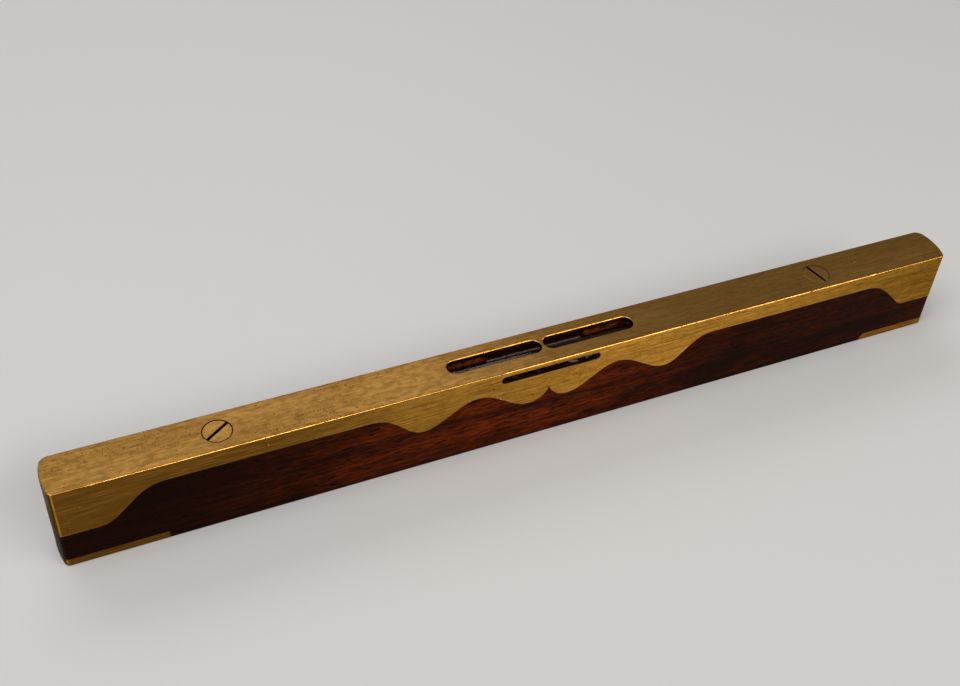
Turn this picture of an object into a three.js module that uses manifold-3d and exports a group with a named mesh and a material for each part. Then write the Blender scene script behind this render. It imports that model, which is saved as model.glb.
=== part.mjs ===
// Brass-bound rosewood spirit level with a capped top, scalloped cheeks and toe plates.
// Millimetres. The origin is the centre of the sole, +X runs along the stock, +Z is up,
// and -Y is the front. Front and back are alike, but the back corners are more worn.

import * as THREE from 'three';
import { mergeVertices } from 'three/addons/utils/BufferGeometryUtils.js';
import Module from 'manifold-3d';

const wasm = await Module();
wasm.setup();

// ---- driving dimensions ----------------------------------------------------------------

const LENGTH = 306;          // over the bowed ends, a twelve inch level
const WIDTH = 15;
const HEIGHT = 31;
const ARRIS = 0.35;          // radius worn on every outer edge
const END_BOW = 20;          // radius of each end, seen from above
const END_CORNER = { front: 1.6, back: 3.2 };   // radii where the sides meet the ends
const HEEL_ROUND = 2.6;      // radius under each end, seen from the side
const GAP = 0.1;             // joint line left between fitted pieces

const PLATE = 1.8;           // thickness of the cap's top
const CHEEK = 1.2;           // thickness of the cap's side and end walls
const TAB_DEPTH = 17.9;      // how far the cap's walls hang down at the ends
const RAIL_DEPTH = 6.1;      // and along the straight stretches

const SIGHT_START = -31.8;   // the two sight slots run from here
const SIGHT_END = 32.5;      // to here, with a thin bridge of brass between them
const BRIDGE = 0.95;
const BRIDGE_X = 0.5;
const SIGHT_WIDTH = 5.8;
const SIGHT_Y = 0.55;        // the sight slots were cut a little behind the centre line
const SIGHT_CHAMFER = 0.16;
const SIDE_SIGHT = { x: 0.25, length: 34.1, height: 2.8, depth: 3.05 };
const SIDE_SIGHT_RELIEF = 0.3;   // the wood is cut back this far around each side window

const TOE_THICKNESS = 2.8;
const TOE = {                // slant: how much longer each plate is at the sole
  left: { side: -1, length: 31.3, slant: 0.2 },
  right: { side: 1, length: 29, slant: 1.4 },
};

const CAP_SCREW = {
  headRadius: 4.35, shankRadius: 1.9, length: 24, slotWidth: 0.9, slotDepth: 1.1, rings: 6,
};
const CAP_SCREW_X = 103.2;
const CAP_SCREW_TURN = { left: 34, right: 103 };   // direction of each driver slot, in degrees
const TOE_SCREW = {
  headRadius: 2.3, shankRadius: 1.1, length: 11, slotWidth: 0.6, slotDepth: 0.6, rings: 3,
};
const TOE_SCREW_SET_IN = [7, 21];                  // from the end of the stock
const TOE_SCREW_TURN = [20, 75];
const HEAD_SUNK = 0.08;      // how far a screw head sits below the face
const HEAD_LAND = 0.35;      // straight rim of a screw head, above its cone
const PLAIN_SHARE = 0.3;     // share of a screw's length that is plain shank
const POINT_LENGTH = 2.5;    // length of its point, in shank radii
const ROOT_SHARE = 0.78;     // thread root over shank radius
const FLANK_SHARE = 0.35;    // share of the pitch taken by the steep flank

const VIAL = { outer: 4, wall: 0.8, closedEnd: -39, shoulder: 34.5, neckEnd: 39 };
const NECK = { outer: 1.5, bore: 0.6 };
const TIP_LENGTH = 1.6;
const VIAL_HEADROOM = 0.2;   // between the glass and the cap
const VIAL_UNDERLAY = 0.6;   // between the glass and the floor of the mortise
const VIAL_Z = HEIGHT - PLATE - VIAL_HEADROOM - VIAL.outer;
const BUBBLE = { length: 24, width: 5, depth: 1.3 };
const BUBBLE_CLEARANCE = 0.3;
const SPIRIT_END = { back: 1, length: 2 };         // its rounded end, behind the shoulder

const MORTISE = { length: 86, width: 9.2, floor: VIAL_Z - VIAL.outer - VIAL_UNDERLAY };
const BED_START = 33;        // the bedding plaster fills the mortise from here to its end

const ROUND_STEPS = 24;      // facets round a screw or the vial
const ARC_STEPS = 10;        // facets along one arc or curve of an outline
const DOME_STEPS = 5;        // facets along a quarter turn of the glass
const REACH = 2;             // how far a cutting tool runs past the face it cuts

// ---- solids and cuts -------------------------------------------------------------------

function solid(geometry) {
  const bare = geometry.index ? geometry.toNonIndexed() : geometry.clone();
  bare.deleteAttribute('normal');
  bare.deleteAttribute('uv');
  const merged = mergeVertices(bare, 1e-4);
  return new wasm.Manifold(new wasm.Mesh({
    numProp: 3,
    vertProperties: new Float32Array(merged.attributes.position.array),
    triVerts: new Uint32Array(merged.index.array),
  }));
}

function geometryOf(body) {
  const mesh = body.getMesh();
  const geometry = new THREE.BufferGeometry();
  geometry.setAttribute('position', new THREE.BufferAttribute(mesh.vertProperties, 3));
  geometry.setIndex(new THREE.BufferAttribute(mesh.triVerts, 1));
  geometry.computeVertexNormals();
  return geometry;
}

// An outline in X and Y, carried up from low to high.
function upright(shape, low, high) {
  const options = { depth: high - low, bevelEnabled: false, curveSegments: ARC_STEPS };
  return solid(new THREE.ExtrudeGeometry(shape, options).translate(0, 0, low));
}

// An outline in X and Z, carried through from the front face to the back.
function through(shape, halfWidth = WIDTH / 2 + REACH) {
  const options = { depth: 2 * halfWidth, bevelEnabled: false, curveSegments: ARC_STEPS };
  const geometry = new THREE.ExtrudeGeometry(shape, options);
  return solid(geometry.rotateX(Math.PI / 2).translate(0, halfWidth, 0));
}

// A turned solid from a list of [radius, position] pairs; its axis is +Z or +X.
function turned(profile, axis = 'z') {
  const points = profile.map(([radius, along]) => new THREE.Vector2(radius, along));
  const geometry = new THREE.LatheGeometry(points, ROUND_STEPS);
  return solid(axis === 'z' ? geometry.rotateX(Math.PI / 2) : geometry.rotateZ(-Math.PI / 2));
}

function block(low, high) {
  const size = high.map((value, i) => value - low[i]);
  const centre = high.map((value, i) => (value + low[i]) / 2);
  return solid(new THREE.BoxGeometry(...size).translate(...centre));
}

function arcPoints(centre, radii, from, to) {
  return Array.from({ length: DOME_STEPS + 1 }, (_, i) => {
    const angle = from + ((to - from) * i) / DOME_STEPS;
    return [centre[0] + radii[0] * Math.cos(angle), centre[1] + radii[1] * Math.sin(angle)];
  });
}

// ---- outlines --------------------------------------------------------------------------

// Where a corner of this radius sits between a straight side and the bowed end.
function endCorner(radius) {
  const y = WIDTH / 2 - radius;
  const run = Math.sqrt((END_BOW - radius) ** 2 - y ** 2);
  return { x: LENGTH / 2 - END_BOW + run, y, turn: Math.atan2(y, run) };
}

// The level from above: straight sides, bowed ends, rounded corners.
function planOutline(inset) {
  const front = endCorner(END_CORNER.front);
  const back = endCorner(END_CORNER.back);
  const frontRadius = END_CORNER.front - inset;
  const backRadius = END_CORNER.back - inset;
  const bow = END_BOW - inset;
  const bowX = LENGTH / 2 - END_BOW;
  const shape = new THREE.Shape();
  shape.absarc(front.x, -front.y, frontRadius, -Math.PI / 2, -front.turn, false);
  shape.absarc(bowX, 0, bow, -front.turn, back.turn, false);
  shape.absarc(back.x, back.y, backRadius, back.turn, Math.PI / 2, false);
  shape.absarc(-back.x, back.y, backRadius, Math.PI / 2, Math.PI - back.turn, false);
  shape.absarc(-bowX, 0, bow, Math.PI - back.turn, Math.PI + front.turn, false);
  shape.absarc(-front.x, -front.y, frontRadius, Math.PI + front.turn, 1.5 * Math.PI, false);
  return shape;
}

// A slot with round ends, lying along X.
function slotOutline(from, to, width, y = 0) {
  const radius = width / 2;
  const shape = new THREE.Shape();
  shape.absarc(to - radius, y, radius, -Math.PI / 2, Math.PI / 2, false);
  shape.absarc(from + radius, y, radius, Math.PI / 2, 1.5 * Math.PI, false);
  return shape;
}

// Half of the cap's lower edge, from the centre outwards, as cubic curves: two control
// points and an end point, each written as [distance from the centre, depth below the top].
const CUSP_DEPTH = 10.4;
const LOBE = [6.9, 15.9];
const CREST = [24.4, 7.8];
const TROUGH = [42.3, 15.8];
const RAIL_START = 58.8;
const RAIL_END = 121;
const TAB_CORNER = {
  left: { x: 140.5, ease: [7, 0] },        // rounded over
  right: { x: 138.6, ease: [4.7, 2.1] },   // left crisp
};

function scallopHalf(corner) {
  return [
    [[0.4, 13.2], [3.2, LOBE[1]], LOBE],
    [[12.8, LOBE[1]], [17.6, CREST[1]], CREST],
    [[30.5, CREST[1]], [36.5, TROUGH[1]], TROUGH],
    [[47.9, TROUGH[1]], [51, RAIL_DEPTH], [RAIL_START, RAIL_DEPTH]],
    [[RAIL_START, RAIL_DEPTH], [RAIL_END, RAIL_DEPTH], [RAIL_END, RAIL_DEPTH]],
    [
      [129.7, RAIL_DEPTH],
      [corner.x - corner.ease[0], TAB_DEPTH - corner.ease[1]],
      [corner.x, TAB_DEPTH],
    ],
  ];
}

// Everything above the cap's lower edge, seen from the front. drop lowers that edge.
function aboveScallop(drop) {
  const base = HEIGHT - drop;
  const end = LENGTH / 2 + REACH;
  const shape = new THREE.Shape();
  shape.moveTo(0, base - CUSP_DEPTH);
  for (const [a, b, c] of scallopHalf(TAB_CORNER.right)) {
    shape.bezierCurveTo(a[0], base - a[1], b[0], base - b[1], c[0], base - c[1]);
  }
  shape.lineTo(end, base - TAB_DEPTH);
  shape.lineTo(end, HEIGHT + REACH);
  shape.lineTo(-end, HEIGHT + REACH);
  shape.lineTo(-end, base - TAB_DEPTH);
  const starts = [[0, CUSP_DEPTH], ...scallopHalf(TAB_CORNER.left).map(([, , c]) => c)];
  const curves = scallopHalf(TAB_CORNER.left).map(([a, b], i) => [b, a, starts[i]]).reverse();
  shape.lineTo(-TAB_CORNER.left.x, base - TAB_DEPTH);
  for (const [a, b, c] of curves) {
    shape.bezierCurveTo(-a[0], base - a[1], -b[0], base - b[1], -c[0], base - c[1]);
  }
  return shape;
}

// ---- shared solids ---------------------------------------------------------------------

// The whole outside of the level, which the cap, the stock and the toe plates share.
function outside() {
  const options = {
    depth: HEIGHT - 2 * ARRIS,
    bevelThickness: ARRIS,
    bevelSize: ARRIS,
    bevelSegments: 3,
    curveSegments: ARC_STEPS,
  };
  const rounded = new THREE.ExtrudeGeometry(planOutline(ARRIS), options).translate(0, 0, ARRIS);
  const heel = new THREE.Shape();
  const heelX = LENGTH / 2 - HEEL_ROUND;
  heel.absarc(heelX, HEEL_ROUND, HEEL_ROUND, -Math.PI / 2, 0, false);
  heel.lineTo(LENGTH / 2, HEIGHT + REACH);
  heel.lineTo(-LENGTH / 2, HEIGHT + REACH);
  heel.absarc(-heelX, HEEL_ROUND, HEEL_ROUND, Math.PI, 1.5 * Math.PI, false);
  return solid(rounded).intersect(through(heel));
}

// The side windows, cut straight through so that light crosses the vial.
function sideSights(grow) {
  const half = SIDE_SIGHT.length / 2 + grow;
  const height = SIDE_SIGHT.height + 2 * grow;
  const z = HEIGHT - SIDE_SIGHT.depth;
  return through(slotOutline(SIDE_SIGHT.x - half, SIDE_SIGHT.x + half, height, z));
}

// The region that one toe plate fills, with an inner end that may slant.
function toeRegion({ side, length, slant }, grow) {
  const inner = LENGTH / 2 - length;
  const top = TOE_THICKNESS + grow;
  const shape = new THREE.Shape();
  shape.moveTo(side * (inner - grow), -REACH);
  shape.lineTo(side * (inner - grow), 0);
  shape.lineTo(side * (inner - grow + slant), top);
  shape.lineTo(side * (LENGTH / 2 + REACH), top);
  shape.lineTo(side * (LENGTH / 2 + REACH), -REACH);
  return through(shape);
}

// A countersunk wood screw hanging below z = 0, or, with grow, the hole that it sits in.
function screwBody(size, grow = 0) {
  const headDepth = HEAD_LAND + size.headRadius - size.shankRadius;
  const plainEnd = headDepth + size.length * PLAIN_SHARE;
  const pointStart = size.length - POINT_LENGTH * size.shankRadius;
  const pitch = (pointStart - plainEnd) / size.rings;
  const root = size.shankRadius * ROOT_SHARE;
  const thread = [];
  for (let i = 0; i < size.rings && grow === 0; i += 1) {
    const top = plainEnd + i * pitch;
    thread.push([root, -(top + FLANK_SHARE * pitch)], [size.shankRadius, -(top + pitch)]);
  }
  const mouth = grow === 0 ? [] : [[0, REACH], [size.headRadius + grow, REACH]];
  const face = grow === 0 ? [[0, 0], [size.headRadius, 0]] : [];
  return turned([
    ...mouth,
    ...face,
    [size.headRadius + grow, -HEAD_LAND - grow],
    [size.shankRadius + grow, -headDepth - grow],
    [size.shankRadius + grow, -plainEnd],
    ...thread,
    [size.shankRadius + grow, -pointStart],
    [0, -size.length - grow],
  ].reverse());
}

function slottedScrew(size, turn) {
  const reach = size.headRadius + REACH;
  const half = size.slotWidth / 2;
  const slot = block([-reach, -half, -size.slotDepth], [reach, half, REACH]);
  return screwBody(size).subtract(slot.rotate([0, 0, turn]));
}

// ---- the brass cap and the stock -------------------------------------------------------

function capScrewHoles() {
  const hole = screwBody(CAP_SCREW, GAP).translate([0, 0, HEIGHT - HEAD_SUNK]);
  return hole.translate([-CAP_SCREW_X, 0, 0]).add(hole.translate([CAP_SCREW_X, 0, 0]));
}

function sightSlot(from, to) {
  const outline = slotOutline(from, to, SIGHT_WIDTH, SIGHT_Y);
  const chamfer = new THREE.ExtrudeGeometry(outline, {
    depth: REACH,
    bevelThickness: SIGHT_CHAMFER,
    bevelSize: SIGHT_CHAMFER,
    bevelSegments: 1,
    curveSegments: ARC_STEPS,
  });
  const slot = upright(outline, HEIGHT - PLATE - REACH, HEIGHT + REACH);
  return slot.add(solid(chamfer.translate(0, 0, HEIGHT)));
}

function topCap() {
  const core = upright(planOutline(CHEEK), HEIGHT - TAB_DEPTH - REACH, HEIGHT - PLATE);
  return outside()
    .intersect(through(aboveScallop(0)))
    .subtract(core)
    .subtract(sightSlot(SIGHT_START, BRIDGE_X - BRIDGE / 2))
    .subtract(sightSlot(BRIDGE_X + BRIDGE / 2, SIGHT_END))
    .subtract(sideSights(0))
    .subtract(capScrewHoles());
}

function toeScrewPlaces() {
  const places = [];
  for (const [end, { side }] of Object.entries(TOE)) {
    for (const [i, spot] of ['outer', 'inner'].entries()) {
      const x = side * (LENGTH / 2 - TOE_SCREW_SET_IN[i]);
      places.push({ name: `toe_screw_${end}_${spot}`, end, x, turn: TOE_SCREW_TURN[i] });
    }
  }
  return places;
}

// A toe screw stands head down in the sole.
function headDown(body, x) {
  return body.rotate([180, 0, 0]).translate([x, 0, HEAD_SUNK]);
}

function stock() {
  const core = upright(planOutline(CHEEK + GAP), 0, HEIGHT - PLATE - GAP);
  const mortise = upright(
    slotOutline(-MORTISE.length / 2, MORTISE.length / 2, MORTISE.width),
    MORTISE.floor,
    HEIGHT + REACH,
  );
  const whole = outside();
  let body = whole
    .subtract(through(aboveScallop(GAP)))
    .add(whole.intersect(core))
    .subtract(mortise)
    .subtract(sideSights(SIDE_SIGHT_RELIEF))
    .subtract(capScrewHoles());
  for (const toe of Object.values(TOE)) {
    body = body.subtract(toeRegion(toe, GAP));
  }
  for (const { x } of toeScrewPlaces()) {
    body = body.subtract(headDown(screwBody(TOE_SCREW, GAP), x));
  }
  return body;
}

function toePlate(end) {
  let body = outside().intersect(toeRegion(TOE[end], 0));
  for (const place of toeScrewPlaces().filter((spot) => spot.end === end)) {
    body = body.subtract(headDown(screwBody(TOE_SCREW, GAP), place.x));
  }
  return body;
}

// ---- the vial --------------------------------------------------------------------------

// Outer or inner surface of the glass, from the closed end to the neck.
function vialSurface(radius, closedEnd, shoulder, neckRadius, neckEnd) {
  const dome = arcPoints([0, closedEnd + radius], [radius, radius], -Math.PI / 2, 0);
  const step = radius - neckRadius;
  const fall = arcPoints([neckRadius, shoulder], [step, step], 0, Math.PI / 2);
  return [...dome, ...fall, [neckRadius, neckEnd]];
}

const outerSurface = (grow) => vialSurface(
  VIAL.outer + grow,
  VIAL.closedEnd - grow,
  VIAL.shoulder,
  NECK.outer + grow,
  VIAL.neckEnd + grow,
);

function boreSurface(shrink) {
  const radius = VIAL.outer - VIAL.wall - shrink;
  const closedEnd = VIAL.closedEnd + VIAL.wall + shrink;
  return vialSurface(radius, closedEnd, VIAL.shoulder, NECK.bore, VIAL.neckEnd);
}

function vialGlass() {
  return turned([...outerSurface(0), ...boreSurface(0).reverse()], 'x');
}

// The bead of glass that closes the neck, with a short stem inside it.
function vialTip() {
  const start = VIAL.neckEnd + GAP;
  const bead = arcPoints([0, start], [NECK.outer, TIP_LENGTH], 0, Math.PI / 2);
  const stem = NECK.bore - GAP;
  const stemStart = VIAL.neckEnd - TIP_LENGTH;
  return turned([[0, stemStart], [stem, stemStart], [stem, start], ...bead], 'x');
}

// The spirit fills the bore up to a level surface, which leaves the bubble its path.
function spirit() {
  const radius = VIAL.outer - VIAL.wall - GAP;
  const low = VIAL.closedEnd + VIAL.wall + GAP;
  const high = VIAL.shoulder - SPIRIT_END.back;
  const full = turned([
    ...arcPoints([0, low + radius], [radius, radius], -Math.PI / 2, 0),
    ...arcPoints([0, high], [radius, SPIRIT_END.length], 0, Math.PI / 2),
  ], 'x');
  const surface = radius - BUBBLE.depth - BUBBLE_CLEARANCE;
  return full.subtract(block([-LENGTH, -WIDTH, surface], [LENGTH, WIDTH, WIDTH]));
}

// The bubble lies against the top of the bore: flat below, round ended from above.
function bubble() {
  const radius = VIAL.outer - VIAL.wall - 2 * GAP;
  const end = BUBBLE.length;
  const bore = turned([[0, -end], [radius, -end], [radius, end], [0, end]], 'x');
  const outline = slotOutline(-end / 2, end / 2, BUBBLE.width);
  return upright(outline, radius - BUBBLE.depth, radius + REACH).intersect(bore);
}

// Plaster that beds one end of the vial in the mortise.
function bedding(side) {
  const half = MORTISE.length / 2 - GAP;
  const fill = upright(
    slotOutline(-half, half, MORTISE.width - 2 * GAP),
    MORTISE.floor + GAP - VIAL_Z,
    HEIGHT - PLATE - GAP - VIAL_Z,
  );
  const near = Math.min(side * BED_START, side * LENGTH);
  const far = Math.max(side * BED_START, side * LENGTH);
  const tipStart = VIAL.shoulder;
  const tipEnd = VIAL.neckEnd + TIP_LENGTH + BUBBLE_CLEARANCE;
  const tipRadius = NECK.outer + BUBBLE_CLEARANCE;
  const tipRoom = turned([[0, tipStart], [tipRadius, tipStart], [tipRadius, tipEnd], [0, tipEnd]], 'x');
  return fill
    .intersect(block([near, -WIDTH, -HEIGHT], [far, WIDTH, HEIGHT]))
    .subtract(turned([...outerSurface(GAP), [0, VIAL.neckEnd + GAP]], 'x'))
    .subtract(tipRoom);
}

// ---- the assembled level ---------------------------------------------------------------

const finish = (color, roughness, metalness, opacity = 1) => () => new THREE.MeshStandardMaterial({
  color,
  roughness,
  metalness,
  opacity,
  transparent: opacity < 1,
});

const agedBrass = finish(0x8f6d2f, 0.4, 1);
const screwBrass = finish(0x9a7a3c, 0.35, 1);
const toeBrass = finish(0x8a6428, 0.45, 1);
const rosewood = finish(0x3a140b, 0.4, 0);
const glass = finish(0xdfe8df, 0.05, 0, 0.35);
const paleSpirit = finish(0xd8cf9a, 0.1, 0, 0.5);
const air = finish(0xf4f8f8, 0.05, 0, 0.4);
const plaster = finish(0xcfc6b2, 0.9, 0);

function piece(name, body, material) {
  const mesh = new THREE.Mesh(geometryOf(body), material());
  mesh.name = name;
  return mesh;
}

function capScrew(name, side, turn) {
  const mesh = piece(name, slottedScrew(CAP_SCREW, turn), screwBrass);
  mesh.position.set(side * CAP_SCREW_X, 0, HEIGHT - HEAD_SUNK);
  return mesh;
}

function vialAssembly() {
  const group = new THREE.Group();
  group.position.z = VIAL_Z;
  group.add(
    piece('vial_glass', vialGlass(), glass),
    piece('vial_tip', vialTip(), glass),
    piece('vial_spirit', spirit(), paleSpirit),
    piece('vial_bubble', bubble(), air),
    piece('bed_plaster_left', bedding(-1), plaster),
    piece('bed_plaster_right', bedding(1), plaster),
  );
  return group;
}

const level = new THREE.Group();
level.add(
  piece('wood_stock', stock(), rosewood),
  piece('brass_top_cap', topCap(), agedBrass),
  capScrew('cap_screw_left', -1, CAP_SCREW_TURN.left),
  capScrew('cap_screw_right', 1, CAP_SCREW_TURN.right),
  piece('toe_plate_left', toePlate('left'), toeBrass),
  piece('toe_plate_right', toePlate('right'), toeBrass),
  ...toeScrewPlaces().map(({ name, x, turn }) => (
    piece(name, headDown(slottedScrew(TOE_SCREW, turn), x), screwBrass)
  )),
  vialAssembly(),
);

export default level;
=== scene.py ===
"""Looks of the brass-bound rosewood spirit level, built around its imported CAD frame.

Lengths are metres. The level lies along X, its front faces -Y, and its sole is at z = 0.
"""
import math
import random

import bmesh
import bpy
from mathutils import Matrix, Vector


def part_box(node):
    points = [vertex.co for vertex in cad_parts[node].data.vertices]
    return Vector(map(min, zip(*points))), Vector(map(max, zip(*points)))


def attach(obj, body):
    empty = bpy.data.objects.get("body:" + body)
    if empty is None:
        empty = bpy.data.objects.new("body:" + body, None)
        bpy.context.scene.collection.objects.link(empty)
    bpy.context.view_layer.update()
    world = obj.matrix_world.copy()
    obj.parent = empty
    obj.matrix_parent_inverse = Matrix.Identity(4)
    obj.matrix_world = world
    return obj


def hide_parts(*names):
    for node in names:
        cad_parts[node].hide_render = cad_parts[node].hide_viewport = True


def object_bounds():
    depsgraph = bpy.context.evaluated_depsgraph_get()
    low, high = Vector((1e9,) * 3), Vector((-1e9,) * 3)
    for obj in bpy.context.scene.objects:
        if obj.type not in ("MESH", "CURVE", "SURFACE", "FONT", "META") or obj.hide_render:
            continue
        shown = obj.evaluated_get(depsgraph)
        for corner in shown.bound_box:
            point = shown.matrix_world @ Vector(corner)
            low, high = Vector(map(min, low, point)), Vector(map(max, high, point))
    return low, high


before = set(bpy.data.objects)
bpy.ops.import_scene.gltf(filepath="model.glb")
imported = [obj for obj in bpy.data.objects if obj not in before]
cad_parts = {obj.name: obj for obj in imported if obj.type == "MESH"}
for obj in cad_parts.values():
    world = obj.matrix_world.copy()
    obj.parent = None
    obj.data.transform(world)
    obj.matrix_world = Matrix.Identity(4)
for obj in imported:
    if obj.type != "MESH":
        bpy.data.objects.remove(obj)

CAD_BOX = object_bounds()
MM = 0.001

LENGTH = CAD_BOX[1][0] - CAD_BOX[0][0]
HALF_LENGTH = LENGTH / 2
HALF_WIDTH = (CAD_BOX[1][1] - CAD_BOX[0][1]) / 2
HEIGHT = CAD_BOX[1][2]
SCREW_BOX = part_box("cap_screw_right")
SCREW_X = (SCREW_BOX[0].x + SCREW_BOX[1].x) / 2
SCREW_RADIUS = (SCREW_BOX[1].x - SCREW_BOX[0].x) / 2
FRONT, BACK, TOP = -HALF_WIDTH, HALF_WIDTH, HEIGHT

# ---- camera, floor and light -----------------------------------------------------------

VIEW_YAW = 26.22          # degrees, turned to the right of straight at the front face
VIEW_PITCH = 42.54        # degrees, looking down
VIEW_ROLL = 3.97
FIELD_WIDTH = 0.748       # picture width over distance
CAMERA_PLACE = LENGTH * Vector((-0.4834, -0.8388, 0.9855))
SENSOR_WIDTH = 36         # millimetres
NEAREST_SEEN = 0.01       # metres

FLOOR_HALF = 12 * LENGTH

SOFT_BOXES = {            # place and size in metres, radiance, colour
    "soft_back": ((-0.12, 0.98, 0.98), (1.3, 0.6), 1.5, (1, 0.97, 0.93)),
    "soft_front": ((0.60, -1.05, 1.02), (1.7, 0.40), 5.0, (1, 0.98, 0.95)),
    "soft_top": ((-0.75, -0.2, 1.5), (1.0, 1.2), 3.0, (1, 1, 1)),
}
ROOM_COLOUR = (0.94, 0.96, 1.0, 1)
ROOM_STRENGTH = 0.20


def make_camera():
    data = bpy.data.cameras.new("camera")
    data.sensor_width = SENSOR_WIDTH
    data.lens = SENSOR_WIDTH / FIELD_WIDTH
    data.clip_start = NEAREST_SEEN
    camera = bpy.data.objects.new("camera", data)
    bpy.context.scene.collection.objects.link(camera)
    yaw = Matrix.Rotation(math.radians(-VIEW_YAW), 4, "Z")
    pitch = Matrix.Rotation(math.radians(90 - VIEW_PITCH), 4, "X")
    roll = Matrix.Rotation(math.radians(VIEW_ROLL), 4, "Z")
    camera.matrix_world = Matrix.Translation(CAMERA_PLACE) @ yaw @ pitch @ roll
    bpy.context.scene.camera = camera


def make_floor():
    bm = bmesh.new()
    corners = [(-1, -1), (1, -1), (1, 1), (-1, 1)]
    bm.faces.new([bm.verts.new((x * FLOOR_HALF, y * FLOOR_HALF, 0)) for x, y in corners])
    floor = object_from(bm, "floor")
    floor.data.materials.append(floor_material())


def soft_box(name, place, size, radiance, colour):
    """An area light aimed at the level; its power follows from how bright its face looks."""
    data = bpy.data.lights.new(name, "AREA")
    data.shape = "RECTANGLE"
    data.size, data.size_y = size
    data.energy = radiance * math.pi * size[0] * size[1]
    data.color = colour
    light = bpy.data.objects.new(name, data)
    bpy.context.scene.collection.objects.link(light)
    light.location = place
    aim = Vector((0, 0, HEIGHT / 2)) - light.location
    light.rotation_euler = aim.to_track_quat("-Z", "Y").to_euler()


def make_lights():
    for name, (place, size, radiance, colour) in SOFT_BOXES.items():
        soft_box(name, place, size, radiance, colour)


def make_room():
    """Dim, even light from all round, and plain screen colours."""
    world = bpy.data.worlds.new("studio")
    world.use_nodes = True
    background = world.node_tree.nodes["Background"]
    background.inputs["Color"].default_value = ROOM_COLOUR
    background.inputs["Strength"].default_value = ROOM_STRENGTH
    bpy.context.scene.world = world
    bpy.context.scene.view_settings.view_transform = "Standard"


# ---- mesh helpers ----------------------------------------------------------------------

SAME_POINT = 2e-6         # vertices closer than this become one
SAME_PLANE = 0.4          # degrees between faces that are joined up
EDGE_ANGLE = 34           # degrees between faces whose edge is worn round
EDGE_SEGMENTS = 2
AREA_WEIGHT = 60          # above 50, so that large faces count for more in the shading


def object_from(bm, name, smooth=False):
    mesh = bpy.data.meshes.new(name)
    bm.to_mesh(mesh)
    bm.free()
    if smooth:
        mesh.polygons.foreach_set("use_smooth", [True] * len(mesh.polygons))
    piece = bpy.data.objects.new(name, mesh)
    bpy.context.scene.collection.objects.link(piece)
    return piece


def apply_modifiers(piece):
    bpy.context.view_layer.update()
    evaluated = piece.evaluated_get(bpy.context.evaluated_depsgraph_get())
    mesh = bpy.data.meshes.new_from_object(evaluated)
    old = piece.data
    piece.modifiers.clear()
    piece.data = mesh
    bpy.data.meshes.remove(old)


def cleaned(node):
    """The CAD node's surface with its flat faces joined up again."""
    bm = bmesh.new()
    bm.from_mesh(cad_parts[node].data)
    bmesh.ops.remove_doubles(bm, verts=bm.verts, dist=SAME_POINT)
    flat = math.radians(SAME_PLANE)
    bmesh.ops.dissolve_limit(bm, angle_limit=flat, verts=bm.verts, edges=bm.edges)
    return bm


def soften_edges(piece, width, limit=EDGE_ANGLE):
    bevel = piece.modifiers.new("worn_edges", "BEVEL")
    bevel.width = width
    bevel.segments = EDGE_SEGMENTS
    bevel.limit_method = "ANGLE"
    bevel.angle_limit = math.radians(limit)
    bevel.miter_outer = "MITER_ARC"
    apply_modifiers(piece)


def even_shading(piece):
    piece.data.polygons.foreach_set("use_smooth", [True] * len(piece.data.polygons))
    weighted = piece.modifiers.new("even_shading", "WEIGHTED_NORMAL")
    weighted.mode = "FACE_AREA"
    weighted.weight = AREA_WEIGHT


def finish_piece(piece, material, body, node):
    piece.data.materials.clear()
    piece.data.materials.append(material)
    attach(piece, body)
    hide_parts(node)


# ---- material helpers ------------------------------------------------------------------

# A pair of places, depths or widths is where a change starts and where it is complete.
SPOT_CORE = 0.6            # share of a spot's radius that is fully marked
MORTISE_SIDE = (0.6, 1.2)  # millimetres inside the sides where the mortise's walls fade in
MORTISE_ENDS = (0.16 * LENGTH, 0.15 * LENGTH)
DENT_SIDE = (0.10, 0.25)   # millimetres under the cap's faces where a dent fades in
DENT_TOP = (0.10, 0.30)
DENT_ENDS = (0.49 * LENGTH, 0.48 * LENGTH)
RING_WIDTH = (0.28 * MM, 0.14 * MM)
RIGHT_RING = 0.12          # the ring at the right-hand screw, where the left-hand one is 1


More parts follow.
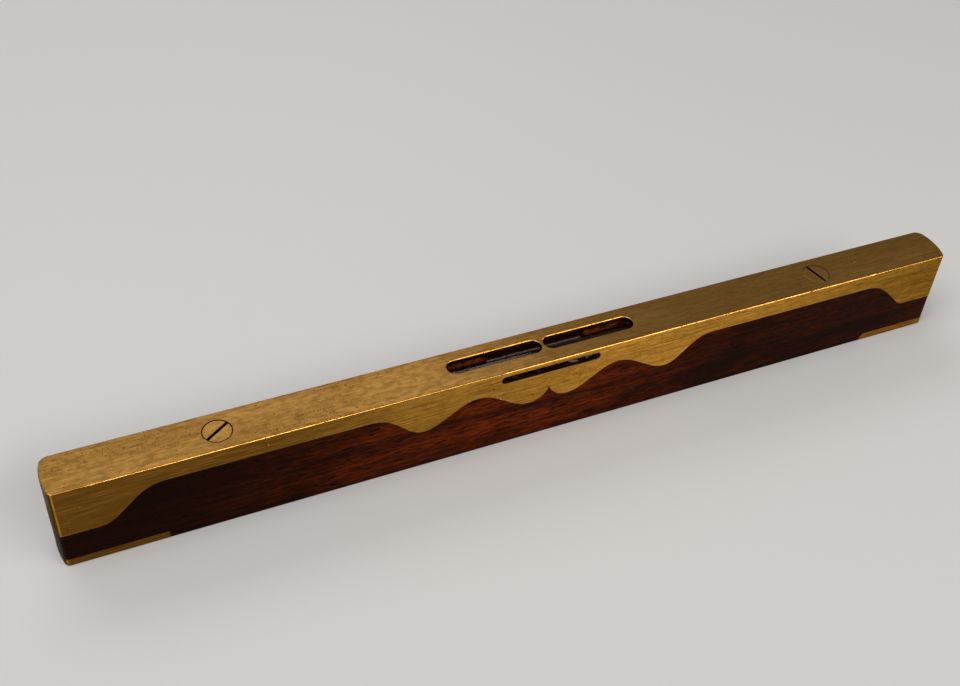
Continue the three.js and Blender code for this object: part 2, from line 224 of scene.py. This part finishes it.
class Shader:
    """A material's node tree with short calls for the nodes that the finishes use.

    The scale of a noise or of spots is in repeats per metre along X, Y and Z.
    """

    def __init__(self, name):
        self.material = bpy.data.materials.new(name)
        self.material.use_nodes = True
        self.tree = self.material.node_tree
        self.surface = self.tree.nodes["Principled BSDF"]
        self.place = self.node("ShaderNodeTexCoord").outputs["Object"]

    def node(self, kind, **settings):
        made = self.tree.nodes.new(kind)
        for key, value in settings.items():
            setattr(made, key, value)
        return made

    def feed(self, socket, value):
        if isinstance(value, bpy.types.NodeSocket):
            self.tree.links.new(value, socket)
        else:
            socket.default_value = value

    def set(self, **values):
        for key, value in values.items():
            self.feed(self.surface.inputs[key.replace("_", " ")], value)

    def stretched(self, scale, turn=(0, 0, 0)):
        mapping = self.node("ShaderNodeMapping")
        self.feed(mapping.inputs["Vector"], self.place)
        self.feed(mapping.inputs["Rotation"], [math.radians(a) for a in turn])
        self.feed(mapping.inputs["Scale"], scale)
        return mapping.outputs["Vector"]

    def noise(self, scale, detail=3, rough=0.5, distortion=0.0, turn=(0, 0, 0)):
        texture = self.node("ShaderNodeTexNoise")
        self.feed(texture.inputs["Vector"], self.stretched(scale, turn))
        self.feed(texture.inputs["Scale"], 1)
        self.feed(texture.inputs["Detail"], detail)
        self.feed(texture.inputs["Roughness"], rough)
        self.feed(texture.inputs["Distortion"], distortion)
        return texture.outputs["Fac"]

    def spots(self, scale, radius):
        """1 inside small scattered spots, 0 outside."""
        texture = self.node("ShaderNodeTexVoronoi")
        self.feed(texture.inputs["Vector"], self.stretched(scale))
        self.feed(texture.inputs["Scale"], 1)
        return self.ramp(texture.outputs["Distance"], radius, radius * SPOT_CORE)

    def ramp(self, value, low, high, out_low=0.0, out_high=1.0):
        """A smooth step from out_low where the value is at low to out_high at high."""
        mapped = self.node("ShaderNodeMapRange", interpolation_type="SMOOTHSTEP")
        for key, number in zip(("Value", "From Min", "From Max", "To Min", "To Max"),
                               (value, low, high, out_low, out_high)):
            self.feed(mapped.inputs[key], number)
        return mapped.outputs["Result"]

    def math(self, operation, a, b):
        made = self.node("ShaderNodeMath", operation=operation)
        self.feed(made.inputs[0], a)
        self.feed(made.inputs[1], b)
        return made.outputs[0]

    def mix(self, amount, a, b, blend="MIX"):
        made = self.node("ShaderNodeMix", data_type="RGBA", blend_type=blend)
        self.feed(made.inputs[0], amount)
        for socket, value in ((made.inputs[6], a), (made.inputs[7], b)):
            self.feed(socket, value if isinstance(value, bpy.types.NodeSocket) else (*value, 1))
        return made.outputs[2]

    def blend(self, amount, a, b):
        made = self.node("ShaderNodeMix", data_type="FLOAT")
        for index, value in ((0, amount), (2, a), (3, b)):
            self.feed(made.inputs[index], value)
        return made.outputs[0]

    def along(self, axis):
        split = self.node("ShaderNodeSeparateXYZ")
        self.feed(split.inputs[0], self.place)
        return split.outputs[axis]

    def facing(self, axis):
        """How far the surface faces along an axis, from -1 to 1."""
        normal = self.node("ShaderNodeTexCoord").outputs["Normal"]
        split = self.node("ShaderNodeSeparateXYZ")
        self.feed(split.inputs[0], normal)
        return split.outputs[axis]

    def size_of(self, value):
        return self.math("ABSOLUTE", value, 0)

    def under(self, value, face, depths):
        """0 at the first depth under a face, 1 at the second, with depths in millimetres."""
        start, full = depths
        return self.ramp(value, face - start * MM, face - full * MM)

    def across_filing(self):
        """A tangent square to the length, because the file ran along X."""
        return self.node("ShaderNodeTangent", direction_type="RADIAL", axis="X").outputs[0]

    def inside_mortise(self):
        """1 on the walls of the pocket that holds the vial, 0 on the outside."""
        inward = self.under(self.size_of(self.along("Y")), HALF_WIDTH, MORTISE_SIDE)
        midway = self.ramp(self.size_of(self.along("X")), *MORTISE_ENDS)
        return self.math("MULTIPLY", inward, midway)

    def recessed(self):
        """1 inside dents and slots in the cap, 0 on its outer faces."""
        behind_side = self.under(self.size_of(self.along("Y")), HALF_WIDTH, DENT_SIDE)
        below_top = self.under(self.along("Z"), TOP, DENT_TOP)
        off_ends = self.ramp(self.size_of(self.along("X")), *DENT_ENDS)
        return self.math("MULTIPLY", off_ends, self.math("MULTIPLY", behind_side, below_top))

    def screw_ring(self):
        """1 on the joint round each cap screw's head, weaker at the right-hand screw."""
        beside = self.math("SUBTRACT", self.size_of(self.along("X")), SCREW_X)
        y = self.along("Y")
        y_squared = self.math("MULTIPLY", y, y)
        squares = self.math("ADD", self.math("MULTIPLY", beside, beside), y_squared)
        away = self.size_of(self.math("SUBTRACT", self.math("SQRT", squares, 0), SCREW_RADIUS))
        ring = self.ramp(away, *RING_WIDTH)
        fading = self.ramp(self.along("X"), -SCREW_X, SCREW_X, 1.0, RIGHT_RING)
        return self.math("MULTIPLY", ring, fading)

    def bump(self, height, depth, normal=None):
        made = self.node("ShaderNodeBump")
        self.feed(made.inputs["Height"], height)
        self.feed(made.inputs["Distance"], depth)
        if normal is not None:
            self.feed(made.inputs["Normal"], normal)
        return made.outputs["Normal"]


# ---- finishes --------------------------------------------------------------------------

def shade(red, green, blue):
    """A colour picked as 0 to 255 screen values, as the linear values that shaders use."""
    return tuple((v / 255 / 12.92) if v < 11 else ((v / 255 + 0.055) / 1.055) ** 2.4
                 for v in (red, green, blue))


# Brass brightened by use, also used for painted highlights on edges and file marks.
BRASS_WORN_AND_HIGHLIT = shade(255, 186, 84)
BRASS_GOLD = shade(198, 144, 58)
BRASS_TOP = shade(188, 142, 76)
BRASS_OLIVE = shade(136, 97, 38)
# Dark brown for the file streaks, also used for painted shade on the left-hand sides.
BRASS_BROWN = shade(98, 62, 22)
# Painted shade for the end faces.
BRASS_END_SHADE = shade(72, 46, 18)
# Dark dirt for specks and joints, also used for painted shade.
BRASS_GRIME_AND_SHADE = shade(30, 19, 10)

SLOTTED_STRIP = (4.5 * MM, 5 * MM)  # from the top's middle to where its slot rims end
DRIVER_SLOT = (0.25, 0.7)           # millimetres under a screw's face where painted shade darkens its slot
SHEEN_PEAK_X = 0.13 * LENGTH              # where the painted sheen on the sides is brightest
SHEEN_REACH = (0.36 * LENGTH, 0.02 * LENGTH)
SIDE_SHEEN = (0.86, 1.55)
TOP_SHEEN_SPAN = (-0.45 * LENGTH, 0.40 * LENGTH)
TOP_SHEEN = (0.84, 1.26)
# Painted shade: the sides darken towards the left end over this stretch.
SIDE_SHADE_SPAN = (-0.33 * LENGTH, -0.13 * LENGTH)


def brass_masks(s, wear_and_highlight):
    """Where the brass is brightened by use along its edges and painted there as highlight lines
    too, and where it is darkened: dirt in the joint round each screw, painted shade in its dents
    and slots and on faces turned down.
    """
    rise = s.facing("Z")
    sideways = s.size_of(s.facing("Y"))
    # Edges brightened by use and also painted as highlight lines: the arrises, the slot rims and
    # the rounded end corners.
    arris = s.math("MULTIPLY", s.ramp(rise, 0.25, 0.5), s.ramp(rise, 0.96, 0.84))
    corner = s.math("MULTIPLY", s.ramp(sideways, 0.76, 0.84), s.ramp(sideways, 0.98, 0.93))
    upright = s.ramp(s.size_of(rise), 0.3, 0.1)
    corner = s.math("MULTIPLY", corner, s.math("MULTIPLY", upright, 0.35))
    patchy = s.ramp(s.noise((260, 260, 260), detail=3), 0.34, 0.56, 0.55, 1)
    off_slots = s.ramp(s.size_of(s.along("Y")), *SLOTTED_STRIP, 0.5, 1)
    edges = s.math("MULTIPLY", s.math("MAXIMUM", arris, corner), off_slots)
    ring = s.screw_ring()
    recess = s.recessed()
    clean = s.math("MULTIPLY", s.ramp(ring, 0, 1, wear_and_highlight, 0), s.ramp(recess, 0.1, 0.6, 1, 0))
    rubbed_and_highlit = s.math("MULTIPLY", s.math("MULTIPLY", edges, patchy), clean)
    # Painted shade inside dents and the cap's slots, and on faces turned down.
    hollows = s.math("MULTIPLY", recess, 0.8)
    under = s.math("MAXIMUM", hollows, s.ramp(rise, -0.1, -0.35, 0, 0.85))
    grime_and_shade = s.math("MAXIMUM", under, s.math("MULTIPLY", ring, 0.85))
    return rubbed_and_highlit, grime_and_shade


def slot_depth(s):
    """1 in the driver slots, which are darkened with painted shade, and 0 on the faces of the
    level.
    """
    from_middle = s.size_of(s.math("SUBTRACT", s.along("Z"), HEIGHT / 2))
    return s.under(from_middle, HEIGHT / 2, DRIVER_SLOT)


def painted_sheen(s, upward):
    """The painted sheen along the length: the top darker to the left and lighter to the right,
    the sides lightest right of the middle.
    """
    x = s.along("X")
    top = s.ramp(x, *TOP_SHEEN_SPAN, *TOP_SHEEN)
    from_sheen_peak = s.size_of(s.math("SUBTRACT", x, SHEEN_PEAK_X))
    side = s.ramp(from_sheen_peak, *SHEEN_REACH, *SIDE_SHEEN)
    return s.blend(upward, side, top)


def brass(name, tone=1.0, streaky=1.0, anisotropy=0.6, wear_and_highlight=1.0, shaded_driver_slots=False):
    """Aged brass: filed lengthwise, mottled with tarnish, brightened by use along its edges and
    painted there with highlight lines, with painted glints on the file marks, a painted sheen
    along its length and painted shade on its left-hand sides, its end faces, its underside and
    its hollows.
    """
    s = Shader(name)
    upward = s.ramp(s.facing("Z"), 0.6, 0.9)
    endward = s.size_of(s.facing("X"))
    clouds = s.noise((16, 60, 60), detail=4, rough=0.6)
    mottle = s.noise((320, 520, 520), detail=5, rough=0.7)
    freckles = s.noise((1700, 1900, 1900), detail=2)
    streaks = s.noise((40, 2000, 2000), detail=4, rough=0.7, turn=(0, 1.2, 0))
    hairlines = s.noise((90, 3300, 3300), detail=3, rough=0.6)
    scratches = s.noise((60, 2000, 2000), detail=2, turn=(0, 7, 5))

    gold = s.mix(upward, BRASS_GOLD, BRASS_TOP)
    # Painted shade: the sides drawn darker towards the left end.
    left_shade = s.ramp(s.along("X"), *SIDE_SHADE_SPAN, 0.75, 0)
    left_side_shade = s.math("MULTIPLY", left_shade, s.ramp(upward, 0, 1, 1, 0))
    left_shaded = s.mix(left_side_shade, gold, BRASS_BROWN)
    clouded = s.mix(s.ramp(clouds, 0.42, 0.64, 0.36, 0), left_shaded, BRASS_OLIVE)
    mottled = s.mix(s.ramp(mottle, 0.36, 0.58, 0.46, 0), clouded, BRASS_OLIVE)
    depth = s.ramp(upward, 0, 1, 0.50 * streaky, 0.20 * streaky)
    streaked = s.mix(s.math("MULTIPLY", s.ramp(streaks, 0.52, 0.36), depth), mottled, BRASS_BROWN)
    filed = s.mix(s.math("MULTIPLY", s.ramp(hairlines, 0.50, 0.34), depth), streaked, BRASS_BROWN)
    # Painted highlights: bright glints drawn on the file marks.
    glints = s.math("MULTIPLY", s.ramp(hairlines, 0.56, 0.70), 0.30 * streaky)
    glinting = s.mix(glints, filed, BRASS_WORN_AND_HIGHLIT)
    clusters = s.math("MULTIPLY", s.ramp(freckles, 0.60, 0.70), s.ramp(clouds, 0.54, 0.44))
    pits = s.math("MULTIPLY", s.spots((260, 260, 260), 0.10), s.ramp(mottle, 0.46, 0.54))
    specks = s.math("MAXIMUM", clusters, pits)
    freckled = s.mix(s.math("MULTIPLY", specks, 0.6), glinting, BRASS_GRIME_AND_SHADE)
    # Painted shade: the end faces drawn dark.
    end_shaded = s.mix(s.ramp(endward, 0.55, 0.85, 0, 0.9), freckled, BRASS_END_SHADE)
    rubbed_and_highlit, grime_and_shade = brass_masks(s, wear_and_highlight)
    # Painted shade in the screws' driver slots.
    if shaded_driver_slots:
        grime_and_shade = s.math("MAXIMUM", grime_and_shade, s.math("MULTIPLY", slot_depth(s), 0.9))
    # Painted sheen: stretches drawn lighter or darker along the length.
    sheen_factor = s.math("MULTIPLY", painted_sheen(s, upward), tone)
    with_sheen = s.mix(1.0, end_shaded, sheen_factor, "MULTIPLY")
    # Edges brightened and painted as highlights; dirt and painted shade in the dark places.
    worn_lit_and_shaded = s.mix(rubbed_and_highlit, s.mix(grime_and_shade, with_sheen, BRASS_GRIME_AND_SHADE), BRASS_WORN_AND_HIGHLIT)

    marks = s.bump(hairlines, 0.008 * MM)
    marks = s.bump(scratches, 0.010 * MM, marks)
    marks = s.bump(mottle, 0.012 * MM, marks)
    marks = s.bump(specks, -0.04 * MM, marks)
    s.feed(s.surface.inputs["Tangent"], s.across_filing())
    satin = s.ramp(mottle, 0.3, 0.7, 0.40, 0.31)
    s.set(Base_Color=worn_lit_and_shaded, Metallic=1.0, Normal=marks, Anisotropic=anisotropy,
          Specular_Tint=(0.62, 0.52, 0.38, 1), Roughness=s.blend(rubbed_and_highlit, satin, 0.2))
    return s.material


WOOD_BLACK = shade(24, 7, 2)
WOOD_BROWN = shade(58, 21, 8)
WOOD_RED = shade(138, 52, 8)
# Unoiled wood, drawn lighter to stand in for part of the light in the vial's pocket.
WOOD_RAW_LIT = shade(150, 72, 34)
WOOD_PORE = shade(9, 3, 2)
PALE_MOTTLE = shade(170, 156, 140)

WINDOW_INNER = (4.5 * MM, 4.8 * MM)  # from the middle, where the side windows begin
FRONT_WINDOW = (-4.7 * MM, -5.0 * MM)
PALE_END = (0.0, 7 * MM)            # the pale patch grows towards the front window's right-hand end
LEFT_DARK = (-0.44 * LENGTH, -0.02 * LENGTH)  # along X, between black wood and red
RIGHT_DARK = (-0.10 * LENGTH, 0.26 * LENGTH)


def mortise_wood(s):
    """The bare walls round the vial, a lighter unoiled wood that partly stands in for light
    falling on them, drawn black as painted shade in the side windows, and with a pale mottled
    patch in the front one.
    """
    crumbs = s.noise((420, 700, 700), detail=4, rough=0.7)
    # Painted light: the pocket's walls drawn lighter.
    raw_with_painted_light = s.mix(s.ramp(crumbs, 0.38, 0.58), WOOD_BROWN, WOOD_RAW_LIT)
    windows = s.ramp(s.size_of(s.along("Y")), *WINDOW_INNER)
    front_window = s.ramp(s.along("Y"), *FRONT_WINDOW)
    # Painted shade: the side windows' passages drawn black.
    raw_with_painted_light = s.mix(windows, raw_with_painted_light, WOOD_BLACK)
    # A pale mottle on upward faces in the front window, stronger to the right.
    lying = s.math("MULTIPLY", s.ramp(crumbs, 0.50, 0.60), s.ramp(s.facing("Z"), 0.3, 0.8))
    pale_end = s.math("MULTIPLY", front_window, s.ramp(s.along("X"), *PALE_END, 0.15, 0.9))
    pale_patch = s.math("MULTIPLY", lying, pale_end)
    return s.mix(pale_patch, raw_with_painted_light, PALE_MOTTLE)


def rosewood():
    """Oiled rosewood: black figure over red-brown, with short dark pores along the grain."""
    s = Shader("rosewood")
    bands = s.noise((9, 190, 190), detail=5, rough=0.62, distortion=0.3, turn=(0, 2, 0))
    fibres = s.noise((80, 1500, 1500), detail=4, rough=0.65, turn=(0, 3, 0))
    flecks = s.noise((330, 900, 900), detail=3, rough=0.6)
    pores = s.ramp(s.noise((260, 2200, 2200), detail=1), 0.61, 0.69)
    blotches = s.noise((26, 80, 80), detail=4, rough=0.55, distortion=0.4)
    x = s.along("X")
    from_left = s.ramp(x, *LEFT_DARK, 0.04, 1.0)
    to_right = s.ramp(x, *RIGHT_DARK, 1.0, 0.22)
    redness = s.math("MULTIPLY", from_left, to_right)
    ground = s.mix(s.ramp(redness, 0, 0.8), WOOD_BLACK, WOOD_BROWN)
    red = s.math("MULTIPLY", s.ramp(bands, 0.34, 0.64, 0.05, 0.75), redness)
    figured = s.mix(red, ground, WOOD_RED)
    shaded = s.mix(s.ramp(blotches, 0.48, 0.66, 0, 0.75), figured, WOOD_BLACK)
    embers = s.math("MULTIPLY", s.ramp(flecks, 0.56, 0.72, 0, 0.22), s.ramp(redness, 0.1, 0.6))
    glowing = s.mix(embers, shaded, WOOD_RED)
    flecked = s.mix(s.ramp(flecks, 0.36, 0.56, 0.45, 0), glowing, WOOD_BLACK)
    fibred = s.mix(s.ramp(fibres, 0.34, 0.56, 0.75, 0), flecked, WOOD_BLACK)
    porous = s.mix(pores, fibred, WOOD_PORE)
    cut = s.mix(s.inside_mortise(), porous, mortise_wood(s))
    grain = s.bump(fibres, 0.012 * MM)
    grain = s.bump(pores, -0.04 * MM, grain)
    s.set(Base_Color=cut, Roughness=s.ramp(fibres, 0.3, 0.7, 0.36, 0.48),
          Specular_IOR_Level=0.025, Specular_Tint=(1, 0.5, 0.25, 1), Normal=grain)
    return s.material


GLASS_IOR = 1.47
SPIRIT_IOR = 1.36
BUBBLE_IOR = 1 / 1.06     # nearer 1 than real air in spirit, so that its skin shows less


def clear(name, colour, ior):
    """Something clear, with a dimmed, reddish shine."""
    s = Shader(name)
    s.set(Base_Color=(*colour, 1), Transmission_Weight=1.0, IOR=ior, Roughness=0.02,
          Specular_Tint=(0.66, 0.50, 0.46, 1))
    return s.material


def plaster():
    s = Shader("plaster")
    grit = s.noise((900, 900, 900), detail=5, rough=0.7)
    lime = s.mix(s.ramp(grit, 0.3, 0.7), (0.42, 0.36, 0.28), (0.66, 0.61, 0.52))
    s.set(Base_Color=lime, Roughness=0.9, Normal=s.bump(grit, 0.08 * MM))
    return s.material


def floor_material():
    s = Shader("pale_floor")
    s.set(Base_Color=(*shade(222, 220, 217), 1), Roughness=0.45, Specular_IOR_Level=0.25)
    return s.material


# ---- brass and wood --------------------------------------------------------------------

CAP_EDGE = 0.06 * MM
STOCK_EDGE = 0.10 * MM
TOE_EDGE = 0.22 * MM
SCREW_EDGE = 0.12 * MM
SCREW_EDGE_ANGLE = 44      # degrees, steeper than where a thread ring leaves the shank
WOOD_SHRINK = 0.05 * MM
NICK_SEED = 1884
NICK_SPREAD = 0            # the random nicks lie right on their lines
DENT_STRETCH = (0.7, 1.5)  # how uneven a dent is
NICKED_HALF = 0.48 * LENGTH

CAP_NICKS = (             # millimetres along X, in from the front, under the top, and radius
    (-19.5, 0, 5.5, 0.42),
    (-18.0, 0, 9.0, 0.20),
    (-16.7, 0, 10.5, 0.18),
    (-17.1, 0, 0, 0.40),
    (-15.8, 0, 0, 0.28),
    (123.0, 0, 0, 0.45),
    (64.0, 0, 0, 0.25),
    (119.5, 8.0, 0, 0.22),
    (-150.4, 0.3, 5.6, 0.32),
    (-144.4, 0, 7.6, 0.20),
    (1.3, 10.1, 0, 0.40),
    (1.6, 10.9, 0, 0.35),
)
NICKED_LINES = (          # how many nicks, the line's y and z, and their radii
    (14, FRONT, TOP, (0.14 * MM, 0.24 * MM)),
    (10, BACK, TOP, (0.14 * MM, 0.28 * MM)),
    (8, FRONT, TOP - 3 * MM, (0.12 * MM, 0.20 * MM)),
)


def dents_along(rng, count, start, end, radii):
    """Small dents at random places between two points, as (place, radius) pairs."""
    dents = []
    for _ in range(count):
        place = Vector(start).lerp(Vector(end), rng.random())
        place += Vector([NICK_SPREAD * rng.uniform(-1, 1) for _ in range(3)])
        dents.append((place, rng.uniform(*radii)))
    return dents


def dent(piece, dents, rng):
    """Cut small rounded blobs out of a piece."""
    bm = bmesh.new()
    for place, radius in dents:
        shape = Matrix.Diagonal([radius * rng.uniform(*DENT_STRETCH) for _ in range(3)] + [1])
        turn = Matrix.Rotation(rng.uniform(0, math.pi), 4, "Z")
        bmesh.ops.create_icosphere(bm, subdivisions=2, radius=1,
                                   matrix=Matrix.Translation(place) @ turn @ shape)
    cutter = object_from(bm, piece.name + "_dents")
    cut = piece.modifiers.new("dents", "BOOLEAN")
    cut.operation = "DIFFERENCE"
    cut.solver = "EXACT"
    cut.use_self = True
    cut.object = cutter
    apply_modifiers(piece)
    bpy.data.objects.remove(cutter)


def cap_dents(rng):
    """The nicks of use: a few listed, more at random along the arrises and the cheek."""
    dents = [((x * MM, FRONT + inward * MM, TOP - down * MM), radius * MM)
             for x, inward, down, radius in CAP_NICKS]
    for count, y, z, radii in NICKED_LINES:
        dents += dents_along(rng, count, (-NICKED_HALF, y, z), (NICKED_HALF, y, z), radii)
    return dents


def make_cap():
    rng = random.Random(NICK_SEED)
    cap = object_from(cleaned("brass_top_cap"), "cap_casting")
    soften_edges(cap, CAP_EDGE)
    dent(cap, cap_dents(rng), rng)
    even_shading(cap)
    finish_piece(cap, brass("cap_brass"), "level", "brass_top_cap")


def make_stock():
    """The wood, shrunk with age to a hair inside the cap's outline."""
    bm = cleaned("wood_stock")
    for vertex in bm.verts:
        vertex.co.x *= 1 - WOOD_SHRINK / HALF_LENGTH
        vertex.co.y *= 1 - WOOD_SHRINK / HALF_WIDTH
    stock = object_from(bm, "rosewood_body")
    soften_edges(stock, STOCK_EDGE)
    even_shading(stock)
    finish_piece(stock, rosewood(), "level", "wood_stock")


def make_toe_plates():
    material = brass("toe_brass", tone=0.95, streaky=1.3)
    for end in ("left", "right"):
        node = "toe_plate_" + end
        plate = object_from(cleaned(node), "toe_tip_" + end)
        soften_edges(plate, TOE_EDGE)
        even_shading(plate)
        finish_piece(plate, material, "level", node)


def make_screws():
    material = brass("screw_brass", tone=1.04, streaky=0.5, anisotropy=0.2, wear_and_highlight=0.3,
                     shaded_driver_slots=True)
    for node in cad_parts:
        if "screw" not in node:
            continue
        screw = object_from(cleaned(node), node.replace("_screw", "_woodscrew"))
        soften_edges(screw, SCREW_EDGE, SCREW_EDGE_ANGLE)
        even_shading(screw)
        finish_piece(screw, material, "level", node)


# ---- the vial --------------------------------------------------------------------------

GLASS_LOW, GLASS_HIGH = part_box("vial_glass")
TUBE_RADIUS = (GLASS_HIGH.y - GLASS_LOW.y) / 2
TUBE_Z = (GLASS_HIGH.z + GLASS_LOW.z) / 2
SPIRIT_LOW, SPIRIT_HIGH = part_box("vial_spirit")
JOINT_GAP = 0.1 * MM
BORE_RADIUS = (SPIRIT_HIGH.y - SPIRIT_LOW.y) / 2 + JOINT_GAP
TUBE_FACETS = 64
QUARTER_STEPS = 8
NECK_RADIUS = 1.5 * MM
NECK_BORE = 0.6 * MM
SHOULDER_X = GLASS_HIGH.x - 4.5 * MM  # where the tube starts to draw in to its neck
WETTING = 0.02 * MM                   # how far the liquid reaches into the glass
LIQUID_SHOULDER = 2 * MM
ON_AXIS = 1e-6                        # a ring with a smaller radius is a single point


def skin(bm, rings):
    """Faces between neighbouring rings of vertices, where a single vertex closes an end."""
    for one, two in zip(rings, rings[1:]):
        count = max(len(one), len(two))
        for i in range(count):
            j = (i + 1) % count
            corners = [one[i % len(one)], one[j % len(one)], two[j % len(two)], two[i % len(two)]]
            bm.faces.new(list(dict.fromkeys(corners)))
    bmesh.ops.recalc_face_normals(bm, faces=bm.faces)


def lathe(name, profile):
    """A solid of revolution about the vial's axis, from (x, radius) points in order."""
    bm = bmesh.new()
    rings = []
    for x, radius in profile:
        if radius < ON_AXIS:
            rings.append([bm.verts.new((x, 0, TUBE_Z))])
            continue
        turns = [2 * math.pi * i / TUBE_FACETS for i in range(TUBE_FACETS)]
        rings.append([bm.verts.new((x, radius * math.sin(a), TUBE_Z + radius * math.cos(a)))
                      for a in turns])
    skin(bm, rings)
    return object_from(bm, name, smooth=True)


def quarter(x, radius_x, low_radius, high_radius, opening):
    """A quarter ellipse of (x, radius) points; opening is True where the tube widens."""
    points = []
    for i in range(QUARTER_STEPS + 1):
        angle = math.pi / 2 * i / QUARTER_STEPS
        along = x - radius_x * math.cos(angle) if opening else x + radius_x * math.sin(angle)
        across = math.sin(angle) if opening else math.cos(angle)
        points.append((along, low_radius + (high_radius - low_radius) * across))
    return points


def tube_profile(radius, neck):
    """One surface of the tube: a domed left end, a straight run and a drawn right-hand neck."""
    profile = quarter(GLASS_LOW.x + TUBE_RADIUS, radius, 0, radius, True)
    profile += quarter(SHOULDER_X, radius - neck, neck, radius, False)
    return profile + [(GLASS_HIGH.x, neck)]


def make_glass():
    outer = tube_profile(TUBE_RADIUS, NECK_RADIUS)
    inner = tube_profile(BORE_RADIUS, NECK_BORE)
    tube = lathe("vial_tube", outer + inner[::-1])
    glass = clear("vial_glass", (0.82, 0.77, 0.66), GLASS_IOR)
    finish_piece(tube, glass, "level", "vial_glass")


def make_liquid():
    radius = BORE_RADIUS + WETTING
    low = SPIRIT_LOW.x - JOINT_GAP
    profile = quarter(low + radius, radius, 0, radius, True)
    profile += quarter(SPIRIT_HIGH.x - LIQUID_SHOULDER, LIQUID_SHOULDER, 0, radius, False)
    liquid = lathe("vial_liquid", profile)
    spirit = clear("spirit", (0.90, 0.82, 0.62), SPIRIT_IOR)
    finish_piece(liquid, spirit, "level", "vial_spirit")


BUBBLE_LOW, BUBBLE_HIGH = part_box("vial_bubble")
BUBBLE_ROOF = BORE_RADIUS - 0.06 * MM  # a film of liquid stays above the bubble
BUBBLE_SAG = 0.3 * MM
BUBBLE_BLUNTNESS = 5                   # the higher, the squarer the bubble's ends
BUBBLE_STATIONS = 48
BUBBLE_FACETS = 12


def bubble_ring(t, half_length, half_width):
    """The bubble's section at t, from -1 at its left end to 1 at its right end."""
    size = (1 - abs(t) ** BUBBLE_BLUNTNESS) ** 0.5
    x = half_length * t
    half = half_width * size
    if half < ON_AXIS:
        return [(x, 0, TUBE_Z + BUBBLE_ROOF)]
    edge = math.sqrt(BUBBLE_ROOF ** 2 - half ** 2)
    top, bottom = [], []
    for j in range(BUBBLE_FACETS + 1):
        y = half * math.cos(math.pi * j / BUBBLE_FACETS)
        top.append((x, y, TUBE_Z + math.sqrt(BUBBLE_ROOF ** 2 - y ** 2)))
        sag = BUBBLE_SAG * size * (1 - (y / half) ** 2)
        bottom.append((x, y, TUBE_Z + edge - sag))
    return top + bottom[-2:0:-1]


def make_bubble():
    """An air bubble close under the top of the bore, with a rounded skin below."""
    half_length = (BUBBLE_HIGH.x - BUBBLE_LOW.x) / 2
    half_width = (BUBBLE_HIGH.y - BUBBLE_LOW.y) / 2
    bm = bmesh.new()
    rings = []
    for i in range(BUBBLE_STATIONS + 1):
        t = -math.cos(math.pi * i / BUBBLE_STATIONS)
        ring = bubble_ring(t, half_length, half_width)
        rings.append([bm.verts.new(point) for point in ring])
    skin(bm, rings)
    bubble = object_from(bm, "air_bubble", smooth=True)
    air = clear("bubble", (0.80, 0.66, 0.54), BUBBLE_IOR)
    finish_piece(bubble, air, "bubble", "vial_bubble")


def finish_hidden_nodes():
    """The vial's sealed tip and its plaster keep their CAD shapes."""
    lime = plaster()
    materials = {
        "vial_tip": bpy.data.materials["vial_glass"],
        "bed_plaster_left": lime,
        "bed_plaster_right": lime,
    }
    for node, material in materials.items():
        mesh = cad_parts[node].data
        mesh.materials.clear()
        mesh.materials.append(material)


make_camera()
make_floor()
make_lights()
make_room()
make_cap()
make_stock()
make_toe_plates()
make_screws()
make_glass()
make_liquid()
make_bubble()
finish_hidden_nodes()
